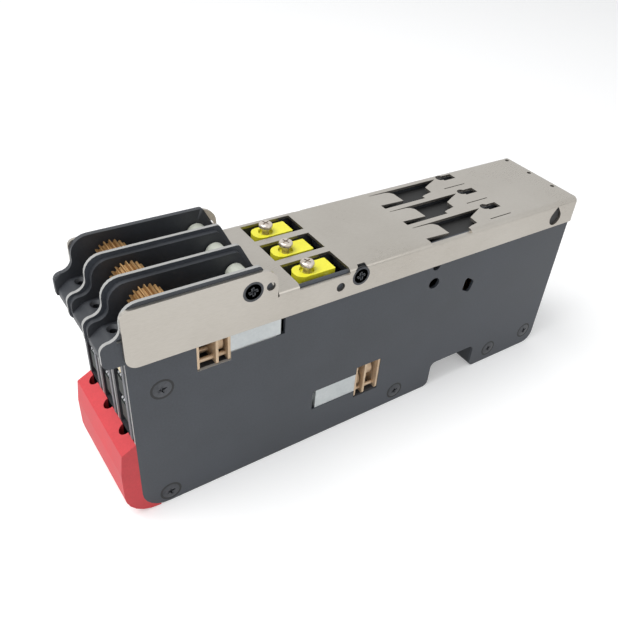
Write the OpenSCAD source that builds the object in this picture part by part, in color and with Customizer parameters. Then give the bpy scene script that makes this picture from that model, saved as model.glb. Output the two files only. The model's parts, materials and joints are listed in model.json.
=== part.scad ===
// Three-lane 8 mm tape feeder: a stack of partition plates and lane liners under a bent
// steel cover. Each lane has its own feed sprocket, cover-tape peeler and tension rocker.
// X runs from the rear bumper to the pick end, Y across the lanes, Z up from the base.

/* [Lanes] */
// Pitch from one lane to the next
lane_pitch = 10.4; // [10:0.1:12]
// Thickness of a steel partition plate
plate_t = 0.9; // [0.6:0.1:1.2]
// Thickness of the wall of a moulded lane liner
wall_t = 1.3; // [1:0.1:1.8]
// Thickness of the ribs inside a liner
rib_t = 1.3; // [0.8:0.1:1.6]

/* [Body] */
// Length from the rear edge of the plates to the pick end
body_len = 150; // [148:0.5:160]
// Height from the base to the top of the cover
body_h = 59.2; // [58:0.1:64]
// Rise of the partition ears above the cover
ear_rise = 8.4; // [7.4:0.1:10]
// Length of the level top of an ear
ear_len = 34; // [33.5:0.1:36]
// Radius of an ear's rear top corner
ear_r = 4.5; // [2:0.5:6]
// Projection of the noses behind the rear edge
nose_out = 4.8; // [4:0.1:6]
// Height of a nose
nose_h = 7.1; // [6:0.1:7.5]
// Radius of the body's rear bottom corner
heel_r = 7; // [3:0.5:8]
// Radius of the body's front bottom corner
toe_r = 4; // [1:0.5:6]
// Step of the liner walls below and inside the ear edges
liner_step = 1; // [0.5:0.1:1.5]

/* [Base notch] */
// Start of the notch in the base
notch_x = 99.2; // [97:0.1:100]
// Length of the notch
notch_len = 19.4; // [18:0.1:22]
// Height of the notch
notch_h = 9.5; // [8:0.1:10]
// Radius of the notch's corners
notch_r = 2; // [1:0.5:3]
// Radius of the rollers over the notch
base_roller_r = 2.9; // [2.4:0.1:2.9]
// Radius of their shaft
base_shaft_r = 0.8; // [0.5:0.1:0.9]

/* [Cover] */
// Thickness of the cover sheet
sheet_t = 0.8; // [0.6:0.1:1]
// Outer radius of the two long bends
bend_r = 1.5; // [1.2:0.1:1.8]
// Drop of the flanges below the cover's top
flange_drop = 8.5; // [7.5:0.5:9.5]
// Rear edge of the cover's flat top
cover_x = 38.8; // [38:0.1:40]
// Rise of the cover's ears above its top
cover_ear_rise = 7.3; // [7:0.1:8]

/* [Rocker windows] */
// Rear edge of the rocker windows
rocker_win_x = 44.7; // [43:0.1:45]
// Length of a rocker window
rocker_win_len = 15.3; // [15:0.1:16]
// Width of a rocker window
rocker_win_w = 8.1; // [7.6:0.1:8.3]

/* [Pick windows] */
// Rear end of the slots beside the tongue
pick_x = 88; // [84:0.5:90]
// Length of the tongue that peels the cover tape
tongue_len = 8.2; // [6:0.1:9]
// Front end of the widest part of the pick window
pick_front = 19.8; // [18:0.1:21]
// Front end of the sprocket slot
pin_slot_end = 33.9; // [33:0.1:35]

/* [Screws] */
// Radius of the screws' shanks
screw_r = 1.5; // [1.2:0.1:1.5]
// Radius of the countersunk heads
screw_head_r = 2.75; // [2.5:0.05:2.8]
// Depth of the countersunk heads
screw_head_h = 1.5; // [1.2:0.1:1.6]

/* [Cover-tape drive] */
// Place of the peel wheels along X
peel_x = 8.9; // [8.7:0.1:9.2]
// Height of the peel wheels' axle above the cover
peel_rise = 2.35; // [2:0.05:2.6]
// Teeth on the upper, brass peel wheel
peel_teeth = 20; // [20:1:20]
// Teeth on the lower pinch wheel
pinch_teeth = 16; // [16:1:16]
// Width of both wheels
peel_w = 5.4; // [4:0.1:6]
// Radius of the wheels' axles
wheel_axle_r = 1.2; // [1:0.1:1.3]
// Place of the guide roller along X
roller_x = 31.6; // [31:0.1:32]
// Height of the guide roller's axle above the cover
roller_rise = 2.4; // [2:0.1:3]
// Radius of the guide roller
roller_r = 2.5; // [2.2:0.1:2.8]

/* [Gearmotors] */
// Height of a gearbox and diameter of its motor can
motor_d = 12; // [11.6:0.1:12]
// Length of a gearbox
gearbox_len = 9; // [8:0.1:9.5]
// Length of a motor can
can_len = 14.2; // [12:0.1:15]
// Thickness of the gearbox's three plates
gearbox_plate_t = 0.7; // [0.5:0.05:0.9]
// Height of the pad on the can's flat
pad_h = 7; // [6:0.1:7.4]
// Radius of the output shafts
shaft_r = 1.5; // [1.2:0.1:1.6]
// Rear face of the peel gearboxes
peel_motor_x = 17; // [16.5:0.1:18]
// Depth of the peel motors' axis below the cover's top
peel_motor_drop = 10.8; // [10.7:0.1:11]
// Front face of the feed gearboxes
feed_motor_x = 76.3; // [74:0.1:77]
// Depth of the feed motors' axis below the cover's top
feed_motor_drop = 43.7; // [43:0.1:44]

/* [Feed drive] */
// Place of the sprockets' axle along X
sprocket_x = 118.8; // [118:0.1:119.4]
// Pins on a sprocket
sprocket_pins = 16; // [16:1:16]
// Pitch of the tape's feed holes
hole_pitch = 4; // [3.9:0.05:4]
// Teeth on the sprocket's gear
sprocket_teeth = 40; // [40:1:40]
// Teeth on the feed wheel
feed_teeth = 56; // [56:1:56]
// Module of all the gears
gear_mod = 0.4; // [0.38:0.01:0.4]
// Width of the feed gears
feed_gear_w = 2; // [1.5:0.1:2.4]

/* [Tension rocker] */
// Length of a rocker
rocker_len = 11.1; // [10.5:0.1:11.4]
// Width of a rocker
rocker_w = 5.5; // [5:0.1:6]
// Height of a rocker
rocker_h = 2.6; // [2.2:0.1:3]
// Gap between the window's rear edge and the rocker
rocker_gap = 1.6; // [1.2:0.1:2]
// Radius of a rocker's pin
rocker_pin_r = 0.8; // [0.6:0.1:0.9]

/* [Rear end] */
// Height of the red bumper
bumper_h = 26; // [23:0.5:26]
// Thickness of the bumper behind the plates
bumper_t = 4.6; // [4:0.1:4.7]
// Thickness of a control board
board_t = 1; // [0.8:0.1:1.2]
// Height of the parts on a control board
chip_h = 5.4; // [4:0.1:5.8]
// Height of a status lamp
lamp_h = 3.4; // [2.5:0.1:4]

/* [Hidden] */

lane_count = 3;
lanes = [0 : lane_count - 1];

// Clearances: a shaft that turns, a piece that is pressed home, and a side gap in a lane
run_clear = 0.05;
seat_clear = 0.02;
side_clear = 0.3;
// Extra reach of a cutting solid past the face it opens
over = 1;
// Steps in a rounded corner of an outline
arc_steps = 6;

// Lane stack, all measured along Y inside one lane
channel_w = lane_pitch - plate_t - wall_t;
channel_mid = plate_t + channel_w / 2;
width = lane_count * lane_pitch + 2 * sheet_t;
function lane_y(k) = sheet_t + k * lane_pitch;

// Heights
deck_top = body_h - sheet_t;
nose_top = body_h - 0.2;
nose_base = nose_top - nose_h;
ear_top = body_h + ear_rise;
tape_gap = 1.4;
deck_z = deck_top - tape_gap;
deck_t = 0.9;

// Cover-tape drive
pressure = 20;
peel_z = body_h + peel_rise;
pinch_z = peel_z - gear_mod * (peel_teeth + pinch_teeth) / 2;
peel_motor_z = body_h - peel_motor_drop;
roller_z = body_h + roller_rise;
worm_len = 6;

// Feed drive
sprocket_pitch_r = hole_pitch * sprocket_pins / (2 * PI);
sprocket_rim_r = sprocket_pitch_r - 0.35;
sprocket_z = deck_z - sprocket_rim_r;
feed_motor_z = body_h - feed_motor_drop;
feed_worm_r = 2.75;
feed_wheel_z = feed_motor_z + feed_worm_r + gear_mod * feed_teeth / 2;
feed_mesh = gear_mod * (feed_teeth + sprocket_teeth) / 2;
feed_wheel_x = sprocket_x - sqrt(pow(feed_mesh, 2) - pow(sprocket_z - feed_wheel_z, 2));
feed_axle_r = wheel_axle_r;
pin_line = plate_t + channel_w - 1.75;

// Tension rocker: its pin lies low at the front end
rocker_x = rocker_win_x + rocker_gap;
rocker_top = body_h - 0.5;
rocker_pin_x = rocker_x + rocker_len - 2;
rocker_pin_z = rocker_top - rocker_h + 0.1;
rocker_screw_x = rocker_x + 4;
rocker_barrel_r = rocker_pin_r + 0.8;

// Rollers over the base notch
base_roller_x = notch_x + 5.2;
base_roller_z = notch_h + 1.3;

// Rear end
board_x = 1.4;
board_z = bumper_h + 0.4;
guide_w = 1.4;

// Screws: [x, z, outer face of the head]
panel_face = sheet_t;
heel_point = [7.6, 3.6, panel_face];
flange_point = [63.7, body_h - 3.2, 0];
tie_points = [
    heel_point,
    [7.9, 40.9, panel_face],
    [84.3, 4.5, panel_face],
    [126.8, 4.9, panel_face],
    [body_len - 5.4, 6.2, panel_face],
    flange_point
];
boss_r = screw_r + 0.8;

// Tape path through a lane: in at the base, up between the gearmotors, along the deck under
// the pick window, over the sprocket and down the chute. Each point is [x, z, radius].
chute_x = body_len - 18.6;
chute_w = 8.4;
inlet_x = 18.5;
tape_path = [
    [inlet_x, 0, 0],
    [inlet_x, 14, 22],
    [82, deck_z, 25],
    [chute_x, deck_z, 6],
    [chute_x, 0, 0]
];
tape_lid = [
    [inlet_x, 0, 0],
    [inlet_x, 14, 22],
    [66, deck_z - (82 - 66) * (deck_z - 14) / (82 - inlet_x), 0]
];

// ---- outlines ----

function unit(v) = v / norm(v);

// Points of one corner p between its neighbours a and b, rounded with radius r
function corner(a, p, b, r) =
    r <= 0 ? [p] :
    let (
        u = unit(a - p),
        w = unit(b - p),
        half = acos(u * w) / 2,
        c = p + unit(u + w) * r / sin(half),
        t0 = p + u * r / tan(half) - c,
        t1 = p + w * r / tan(half) - c,
        a0 = atan2(t0.y, t0.x),
        turn = atan2(t1.y, t1.x) - a0,
        sweep = turn > 180 ? turn - 360 : turn < -180 ? turn + 360 : turn
    )
    [for (i = [0 : arc_steps]) c + r * [cos(a0 + sweep * i / arc_steps), sin(a0 + sweep * i / arc_steps)]];

function flat(p) = [p.x, p.y];

// A closed outline from points [x, y, radius]
function rounded(pts) =
    let (n = len(pts))
    [for (i = [0 : n - 1])
        each corner(flat(pts[(i + n - 1) % n]), flat(pts[i]), flat(pts[(i + 1) % n]), pts[i].z)];

// An open path from points [x, y, radius]
function rounded_path(pts) =
    let (n = len(pts))
    [for (i = [0 : n - 1])
        each (i == 0 || i == n - 1 ? [flat(pts[i])] :
            corner(flat(pts[i - 1]), flat(pts[i]), flat(pts[i + 1]), pts[i].z))];

// The same path moved sideways, to its left where d is positive
function shifted(p, d) =
    let (n = len(p))
    [for (i = [0 : n - 1])
        let (t = unit(p[min(i + 1, n - 1)] - p[max(i - 1, 0)])) p[i] + d * [-t.y, t.x]];

function reversed(p) = [for (i = [len(p) - 1 : -1 : 0]) p[i]];

// A strip between two sideways distances of a path
module strip(pts, near, far) {
    path = rounded_path(pts);
    polygon(concat(shifted(path, near), reversed(shifted(path, far))));
}

// Side outline of the plates and liners; d moves its rear and top edges inwards
function side_outline(d = 0) = rounded([
    [0, 0, heel_r],
    [notch_x, 0, notch_r],
    [notch_x, notch_h, notch_r],
    [notch_x + notch_len, notch_h, notch_r],
    [notch_x + notch_len, 0, notch_r],
    [body_len, 0, toe_r],
    [body_len, deck_top, 0],
    [cover_x - d, deck_top, 0],
    [ear_len - d, ear_top - d, 1.2],
    [d, ear_top - d, ear_r],
    [d, nose_top - d / 2, 3],
    [-nose_out + d / 2, nose_top - d / 2, 2],
    [-nose_out + d / 2, nose_base + d / 2, 2],
    [0, nose_base + d / 2, 0]
]);

// Spur gear outline with involute flanks
gear_thin = 0.03;
function inv(a) = tan(a) * 180 / PI - a;
function half_tooth(r, teeth) =
    let (rp = gear_mod * teeth / 2, rb = rp * cos(pressure), a = r > rb ? acos(rb / r) : 0)
    90 / teeth + inv(pressure) - inv(a) - gear_thin / rp * 180 / PI;
function polar(r, a) = [r * cos(a), r * sin(a)];
function gear_outline(teeth, phase, steps = 2) =
    let (rp = gear_mod * teeth / 2, root = rp - 1.25 * gear_mod, tip = rp + gear_mod)
    [for (i = [0 : teeth - 1])
        let (mid = phase + 360 * i / teeth)
        each concat(
            [for (j = [0 : steps]) let (r = root + (tip - root) * j / steps)
                polar(r, mid - half_tooth(r, teeth))],
            [for (j = [steps : -1 : 0]) let (r = root + (tip - root) * j / steps)
                polar(r, mid + half_tooth(r, teeth))])];

// ---- placing ----

// The row origin lies on the base, under the middle of the whole length and width
module placed() {
    translate([(nose_out - body_len) / 2, -width / 2, 0]) children();
}

// A flat shape in X and Z, extruded along Y from y by w
module across(y, w) {
    translate([0, y + w, 0]) rotate([90, 0, 0]) linear_extrude(w) children();
}

// A round bar along Y
module bar_y(x, z, r, y, w, fn = 48) {
    translate([x, y, z]) rotate([-90, 0, 0]) cylinder(r = r, h = w, $fn = fn);
}

// A round bar along X
module bar_x(x, y, z, r, len, fn = 48) {
    translate([x, y, z]) rotate([0, 90, 0]) cylinder(r = r, h = len, $fn = fn);
}

// Countersunk screw along Y, and the same shape widened to cut its hole
module screw_form(p, len, clear = 0) {
    translate([p[0], p[2], p[1]]) rotate([-90, 0, 0]) {
        cylinder(r1 = screw_head_r + clear, r2 = screw_r + clear, h = screw_head_h, $fn = 48);
        cylinder(r = screw_r + clear, h = len, $fn = 48);
    }
}

module cross_recess(x, y, z) {
    for (a = [0, 90])
        translate([x, y, z]) rotate([0, a, 0]) cube([2.6, 1.4, 0.5], center = true);
}

axle_screw = [roller_x, roller_z, 0];
all_screws = concat(tie_points, [axle_screw]);

// Inner axles end blind in the first plate and in the last liner's wall
blind = 0.4;
inner_y = sheet_t + blind;
inner_len = width - 2 * inner_y;

// Holes through a plate or a liner for screws and axles
module stack_holes(y, w, clear) {
    for (p = all_screws) bar_y(p[0], p[1], screw_r + clear, y - over, w + 2 * over);
    for (z = [peel_z, pinch_z]) bar_y(peel_x, z, wheel_axle_r + clear, y - over, w + 2 * over);
    from = max(y - over, inner_y);
    to = min(y + w + over, inner_y + inner_len);
    bar_y(sprocket_x, sprocket_z, feed_axle_r + clear, from, to - from);
    bar_y(feed_wheel_x, feed_wheel_z, feed_axle_r + clear, from, to - from);
    bar_y(base_roller_x, base_roller_z, base_shaft_r + run_clear, from, to - from);
}

// ---- cover ----

// Half of the bent section in Y and Z at the near side
function cover_section() =
    let (inner = bend_r - sheet_t)
    rounded([
        [0, body_h - flange_drop, 0],
        [0, body_h, bend_r],
        [width, body_h, bend_r],
        [width, body_h - flange_drop, 0],
        [width - sheet_t, body_h - flange_drop, 0],
        [width - sheet_t, deck_top, inner],
        [sheet_t, deck_top, inner],
        [sheet_t, body_h - flange_drop, 0]
    ]);

// Rear part of a flange with its raised ear
flange_base = body_h - flange_drop;
ear_front = cover_x - 0.4;
module cover_ear() {
    polygon(rounded([
        [0, flange_base, 3],
        [cover_x + over, flange_base, 0],
        [cover_x + over, body_h - bend_r, 0],
        [ear_front, body_h - bend_r, 0],
        [ear_front, body_h + cover_ear_rise, 4.5],
        [0, body_h + cover_ear_rise, 1.8]
    ]));
}

module rocker_window(k) {
    y = lane_y(k) + (k == 0 ? -sheet_t - over : channel_mid - rocker_win_w / 2);
    y_end = lane_y(k) + channel_mid + rocker_win_w / 2;
    translate([rocker_win_x, y, body_h - bend_r]) cube([rocker_win_len, y_end - y, bend_r + over]);
}

// Pick window in X and Y: the tongue, the slots beside it, the notched front edge, the round
// lobe and the slot for the sprocket's pins
module pick_window() {
    near = -0.1;
    far = channel_mid + 3.45;
    tongue_near = 1.7;
    tongue_far = far - 0.55;
    tongue_end = pick_x + tongue_len;
    front = pick_x + pick_front;
    polygon(rounded([
        [pick_x, tongue_far, 0],
        [tongue_end, tongue_far, 2],
        [tongue_end, tongue_near, 0],
        [pick_x, tongue_near + 0.4, 0],
        [pick_x, near, 0],
        [front - 4.4, near, 0],
        [front - 4.4, tongue_near, 0.3],
        [front, tongue_near + 0.4, 0],
        [front + 0.2, channel_mid + 0.4, 0],
        [front + 3.4, channel_mid + 1.9, 0],
        [front + 7, channel_mid + 2.2, 0],
        [front + 7, far, 0],
        [pick_x, far, 0]
    ]));
    translate([sprocket_x - 1.9, channel_mid + 3.3]) circle(r = 1.6, $fn = 32);
    translate([sprocket_x - 1.9, channel_mid + 1.9]) square([pick_x + pin_slot_end - sprocket_x + 1.9, 2.3]);
}

module top_cover() color("silver") placed() difference() {
    union() {
        translate([cover_x, 0, 0]) rotate([90, 0, 90])
            linear_extrude(body_len - cover_x) polygon(cover_section());
        for (y = [0, width - sheet_t]) across(y, sheet_t) cover_ear();
    }
    for (k = lanes) {
        rocker_window(k);
        translate([0, lane_y(k), body_h - bend_r]) linear_extrude(bend_r + over) pick_window();
        translate([body_len - 1.6, lane_y(k) + channel_mid + 3.8, deck_top - over])
            cylinder(r = 0.7, h = sheet_t + 2 * over, $fn = 24);
        translate([pick_x + 24.7, lane_y(k) + channel_mid - 3, deck_top - over])
            cube([9.1, 0.3, sheet_t + 2 * over]);
    }
    // the near window's slot opens the bend as well
    translate([pick_x, -over, body_h - bend_r])
        cube([pick_front - 4.4, over + sheet_t + 0.7, bend_r + over]);
    // screws, ear holes and the dowel and hook holes of both flanges
    for (p = all_screws) screw_form([p[0], p[1], -over], width + 2 * over, seat_clear);
    for (p = [flange_point, axle_screw]) screw_form(p, width, run_clear);
    bar_y(cover_x - 2.4, roller_z, 1.2, -over, width + 2 * over, 32);
    bar_y(57.3, body_h - 4.7, 1.3, -over, width + 2 * over, 32);
    across(-over, width + 2 * over) hook_hole();
}

// Keyhole near the front end of each flange
module hook_hole() {
    x = body_len - 8.8;
    z = body_h - 4.5;
    translate([x, z]) circle(r = 2.4, $fn = 40);
    translate([x - 0.5, z - 2.2]) circle(r = 1.3, $fn = 28);
}

// ---- plates and liners ----

// Window in a partition plate for one gearmotor; side is 1 where the can lies in front
module motor_window(x, z, side) {
    box = motor_d + 2 * seat_clear;
    x_box = side > 0 ? x : x - gearbox_len;
    x_can = side > 0 ? x + gearbox_len - over : x - gearbox_len - can_len - 1.2;
    translate([x_box, z - box / 2]) square([gearbox_len, box]);
    translate([x_can, z - pad_h / 2 - seat_clear]) square([can_len + over + 1.2, pad_h + 2 * seat_clear]);
}

module panel_holes() {
    translate([92.6, body_h - 15.4]) scale([1.1, 1]) circle(r = 1.8, $fn = 32);
    translate([92.3, body_h - 9.3]) circle(r = 1.4, $fn = 28);
    polygon(rounded([
        [105.6, body_h - 22.2, 1],
        [109, body_h - 24, 1],
        [110.2, body_h - 20, 1.2],
        [106.4, body_h - 17.4, 1]
    ]));
}

module partition_plate(k) color("dimgray") placed() {
    y = lane_y(k);
    difference() {
        across(y, plate_t) difference() {
            polygon(side_outline());
            motor_window(peel_motor_x, peel_motor_z, 1);
            motor_window(feed_motor_x, feed_motor_z, -1);
            panel_holes();
        }
        stack_holes(y, plate_t, seat_clear);
        if (k == 0) for (p = all_screws) screw_form(p, lane_pitch, seat_clear);
        if (k == 0) bend_corner(true);
    }
}

// Corner that the cover's bend takes off the outermost plate and liner
module bend_corner(near) {
    r = bend_r - sheet_t;
    translate([-over, near ? sheet_t : width - sheet_t, deck_top])
        mirror([0, near ? 0 : 1, 0]) rotate([90, 0, 90]) linear_extrude(body_len + 2 * over)
            difference() {
                translate([-over, -r]) square([over + r, r + over]);
                translate([r, -r]) circle(r = r, $fn = 48);
            }
}

module lane_liner(k) color([0.17, 0.18, 0.2]) placed() {
    y = lane_y(k) + lane_pitch - wall_t;
    difference() {
        across(y, wall_t) polygon(side_outline(liner_step));
        stack_holes(y, wall_t, seat_clear);
        if (k == lane_count - 1) intersection() {
            bend_corner(false);
            translate([cover_x - over, 0, 0]) cube([body_len, width, body_h]);
        }
    }
}

// Solid spacers of a lane's frame, in X and Z, each standing on the liner's wall. They leave
// the notch, the tape's inlet and the chute open.
notch_end = notch_x + notch_len;
frame_gap = 0.4;
guide_x = inlet_x + deck_t + frame_gap;
post_w = 2.6;
module base_spacers() {
    inlet = inlet_x - tape_gap - 0.6 - deck_t;
    translate([12.9, 0]) square([inlet - 12.9 - frame_gap, rib_t]);
    translate([guide_x, 0]) square([notch_x - post_w - frame_gap - guide_x, rib_t]);
    // posts and bar around the notch
    polygon(rounded([
        [notch_x - post_w, 0, 0], [notch_x, 0, notch_r],
        [notch_x, notch_h + rib_t, 0], [notch_x - post_w, notch_h + rib_t, 0]
    ]));
    bar_from = base_roller_x + base_roller_r + frame_gap;
    translate([bar_from, notch_h]) square([notch_end - bar_from - frame_gap, rib_t]);
    polygon(rounded([
        [notch_end, 0, notch_r], [chute_x - deck_t - frame_gap, 0, 0],
        [chute_x - deck_t - frame_gap, notch_h + rib_t, 0], [notch_end, notch_h + rib_t, 0]
    ]));
}

module front_spacers() {
    x = chute_x + chute_w;
    polygon(rounded([
        [x, 0, 0], [body_len, 0, toe_r], [body_len, deck_top, 0], [x, deck_top, 0]
    ]));
    // lip that turns the tape down into the chute
    polygon(rounded([
        [x - frame_gap, deck_top - 6, 0], [x - frame_gap, deck_top, 0], [x - 5.6, deck_top, 0]
    ]));
}

// Block between the noses that carries the cover tape out over its rounded top
module nose_block() {
    nose_x = -nose_out + liner_step / 2;
    polygon(rounded([
        [nose_x, nose_base + 0.3, 1],
        [3.9, nose_base + 0.3, 0],
        [3.9, nose_top - 1.8, 0.5],
        [-1.4, nose_top - 2, 3],
        [nose_x, nose_top - 4.2, 0.8]
    ]));
}

// Cradle under a gearbox, and ledge under the control board
module cradles() {
    for (p = [[peel_motor_x, peel_motor_z], [feed_motor_x - gearbox_len, feed_motor_z]])
        translate([p.x, p.y - motor_d / 2 - 1.2]) square([gearbox_len, 1.2]);
    translate([0.2, board_z - 1.2]) square([3.4, 1.2]);
}

module bosses() {
    for (p = [tie_points[1], tie_points[2], flange_point])
        translate([p[0], p[1]]) circle(r = boss_r, $fn = 36);
}

// Front bearing block of the feed worm's shaft
bearing_x = feed_wheel_x + worm_len / 2 + 4;
bearing_len = 2.4;

module lane_frame(k) color([0.2, 0.21, 0.23]) placed() {
    y = lane_y(k);
    difference() {
        union() {
            across(y + plate_t, channel_w) {
                base_spacers();
                front_spacers();
                nose_block();
                cradles();
                bosses();
            }
            translate([bearing_x, y + plate_t + 1.2, feed_motor_z - 3])
                cube([bearing_len, channel_w - 1.2, 6]);
        }
        stack_holes(y, lane_pitch, seat_clear);
        if (k == 0) for (p = all_screws) screw_form(p, lane_pitch, seat_clear);
        bar_x(bearing_x - over, y + channel_mid, feed_motor_z, shaft_r + run_clear, bearing_len + 2 * over);
        // countersunk hole in the nose block
        translate([0.7, y + channel_mid + 1.9, nose_base + 1.6]) {
            cylinder(r = 0.9, h = nose_h, $fn = 32);
            translate([0, 0, nose_h - 4.2]) cylinder(r1 = 0.9, r2 = 2.4, h = 1.5, $fn = 40);
        }
    }
}

// Bent strips that lead the carrier tape: the floor over its whole way, and the lid of the ramp
module tape_guide(k) color([0.55, 0.55, 0.54]) placed() {
    y = lane_y(k);
    difference() {
        across(y + plate_t, channel_w) {
            strip(tape_path, 0, -deck_t);
            strip(tape_lid, tape_gap + 0.6, tape_gap + 0.6 + deck_t);
        }
        // slot in the deck for the sprocket's rim and pins
        translate([sprocket_x - 6.6, y + pin_line - 0.95, deck_z - deck_t - over])
            cube([13.2, 1.9, deck_t + 2 * over]);
    }
}

// ---- rear end ----

module rear_bumper() color([0.82, 0.25, 0.28]) placed() {
    wrap_x = heel_r - 2.4;
    tongue_x = 12.6;
    difference() {
        union() {
            across(sheet_t, width - 2 * sheet_t) difference() {
                polygon(rounded([
                    [0.1, bumper_h, 0],
                    [-bumper_t + 0.8, bumper_h - 2.2, 0.6],
                    [-bumper_t, bumper_h - 9, 0],
                    [-bumper_t, 0, 8.5],
                    [wrap_x, 0, 0],
                    [wrap_x, heel_r, 0],
                    [0.1, heel_r + over, 0]
                ]));
                polygon(side_outline());
            }
            // tongues between the plates, held by the lower screw
            for (k = lanes) across(lane_y(k) + plate_t, channel_w) polygon(rounded([
                [-1.5, heel_r + 3, 0],
                [-1.5, 3.4, 1],
                [wrap_x - 2, 0.5, 0],
                [wrap_x - 0.4, 0, 0],
                [tongue_x, 0, 0],
                [tongue_x, 4, 1.5],
                [heel_r + 1.5, heel_r + 1, 1.5],
                [2, heel_r + 3, 0]
            ]));
        }
        for (k = lanes) {
            bar_y(heel_point[0], heel_point[1], screw_r + seat_clear, lane_y(k), lane_pitch);
            // half-round pockets below the control boards
            translate([0, lane_y(k) + channel_mid + 1.6, bumper_h - 4]) cylinder(r = 1.7, h = 5, $fn = 32);
        }
        screw_form(heel_point, lane_pitch, seat_clear);
    }
}

// Boards and lamps stand clear of the guides, and the lamps hang from the noses
board_w = channel_w - guide_w - 0.7;
chip_inset = 1.1;
chip_first = 3.2;
chip_pitch = 8.2;
lamp_inset = 0.9;
lamp_drop = 2.1;
module control_boards() color([0.12, 0.2, 0.17]) placed() for (k = lanes) {
    y = lane_y(k) + plate_t + guide_w + 0.4;
    board_h = nose_base - board_z;
    translate([board_x, y, board_z]) cube([board_t, board_w, board_h]);
    for (i = [0, 1]) translate([0.3, y + chip_inset, board_z + chip_first + i * chip_pitch])
        cube([board_x, board_w - 2 * chip_inset, chip_h]);
}

module status_lamps() color([0.85, 0.75, 0.25]) placed() for (k = lanes) {
    y = lane_y(k) + plate_t + guide_w + 0.4;
    translate([0.1, y + lamp_inset, nose_base - lamp_drop - lamp_h])
        cube([board_x - 0.1, board_w - 2 * lamp_inset, lamp_h]);
}

// Clear strips beside the boards, with a round lower end
module light_guides() color([0.75, 0.75, 0.78]) placed() for (k = lanes)
    translate([-0.3, lane_y(k) + plate_t + 0.1, 0]) rotate([90, 0, 90])
        linear_extrude(board_x + board_t + 0.3) polygon(rounded([
            [0, board_z + 0.3, guide_w / 2 - 0.01],
            [guide_w, board_z + 0.3, guide_w / 2 - 0.01],
            [guide_w, nose_base - 0.1, 0],
            [0, nose_base - 0.1, 0]
        ]));

// ---- gearmotors ----

// Can of a motor: round with two flats, a pad that fills the panel window, and an end cap
module motor_can(k, x, z, side) placed() {
    can_w = channel_w - 0.1;
    y = lane_y(k) + channel_mid;
    x0 = side > 0 ? x + gearbox_len : x - gearbox_len - can_len;
    cap_x = side > 0 ? x0 + can_len : x0 - 0.8;
    pad_y = lane_y(k) + 0.2;
    difference() {
        intersection() {
            bar_x(x0, y, z, motor_d / 2 - 0.05, can_len, 64);
            translate([x0, y - can_w / 2, z - motor_d / 2]) cube([can_len, can_w, motor_d]);
        }
        bar_x(x0 + (side > 0 ? -over : can_len - 1.5), y, z, shaft_r + 0.6, 1.5 + over);
    }
    translate([x0, pad_y, z - pad_h / 2]) cube([can_len, plate_t, pad_h]);
    bar_x(cap_x, y, z, motor_d / 2 - 2.4, 0.8, 32);
}

// Gearbox: three brass plates on four pillars, with its wheels between them
module gearbox(k, x, z, side) placed() {
    y0 = lane_y(k) + 0.2;
    y1 = lane_y(k) + plate_t + channel_w - 0.05;
    y = lane_y(k) + channel_mid;
    x0 = side > 0 ? x : x - gearbox_len;
    stages = [0, gearbox_len * 0.56, gearbox_len - gearbox_plate_t];
    difference() {
        union() {
            for (s = stages)
                translate([side > 0 ? x0 + s : x0 + gearbox_len - s - gearbox_plate_t, y0, z])
                    rotate([90, 0, 90]) linear_extrude(gearbox_plate_t) polygon(rounded([
                        [0, -motor_d / 2, 0.6],
                        [y1 - y0, -motor_d / 2, 0.6],
                        [y1 - y0, motor_d / 2, 0.6],
                        [0, motor_d / 2, 0.6]
                    ]));
            for (dy = [-1, 1], dz = [-1, 1])
                bar_x(x0, y + dy * 2.9, z + dz * 4.7, 0.6, gearbox_len, 24);
            bar_x(side > 0 ? x0 + 1.6 : x0 + gearbox_len - 4.2, y, z + 1.2, 3.1, 2.6, 40);
            bar_x(side > 0 ? x0 + 5.9 : x0 + gearbox_len - 8, y, z - 1.4, 3.3, 1.9, 40);
            bar_x(x0, y, z - 4.2, 0.7, gearbox_len, 24);
            bar_x(x0, y, z + 3.4, 0.7, gearbox_len, 24);
        }
        bar_x(side > 0 ? x0 - over : x0 + gearbox_len - 5, y, z, shaft_r + run_clear, 5 + over);
    }
}

module peel_motor(k) color([0.85, 0.87, 0.86]) motor_can(k, peel_motor_x, peel_motor_z, 1);
module feed_motor(k) color([0.85, 0.87, 0.86]) motor_can(k, feed_motor_x, feed_motor_z, -1);
module peel_gearboxes() color([0.8, 0.65, 0.4])
    for (k = lanes) gearbox(k, peel_motor_x, peel_motor_z, 1);
module feed_gearboxes() color([0.8, 0.65, 0.4])
    for (k = lanes) gearbox(k, feed_motor_x, feed_motor_z, -1);

// ---- worms and gears ----

// Right-hand thread along X, in reach of a wheel straight above x
worm_pitch = PI * gear_mod;
worm_seg = 14;
module worm_thread(x, y, z, pitch_r) {
    turns = 2;
    rings = 2 * turns * worm_seg;
    // [radius, half width] of the four corners of the thread's section
    section = [
        [pitch_r - 1.4 * gear_mod, -0.3], [pitch_r + 0.9 * gear_mod, -0.1],
        [pitch_r + 0.9 * gear_mod, 0.1], [pitch_r - 1.4 * gear_mod, 0.3]
    ];
    points = [for (i = [0 : rings], p = section)
        let (a = 90 + 360 * (i - rings / 2) / worm_seg)
        [x + worm_pitch * (i - rings / 2) / worm_seg + p[1], y + p[0] * cos(a), z + p[0] * sin(a)]];
    sides = [for (i = [0 : rings - 1], j = [0 : 3])
        let (a = 4 * i + j, b = 4 * i + (j + 1) % 4)
        each [[a, b, b + 4], [a, b + 4, a + 4]]];
    last = 4 * rings;
    ends = [[3, 2, 1], [3, 1, 0], [last, last + 1, last + 2], [last, last + 2, last + 3]];
    polyhedron(points = points, faces = concat(sides, ends));
}

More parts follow.
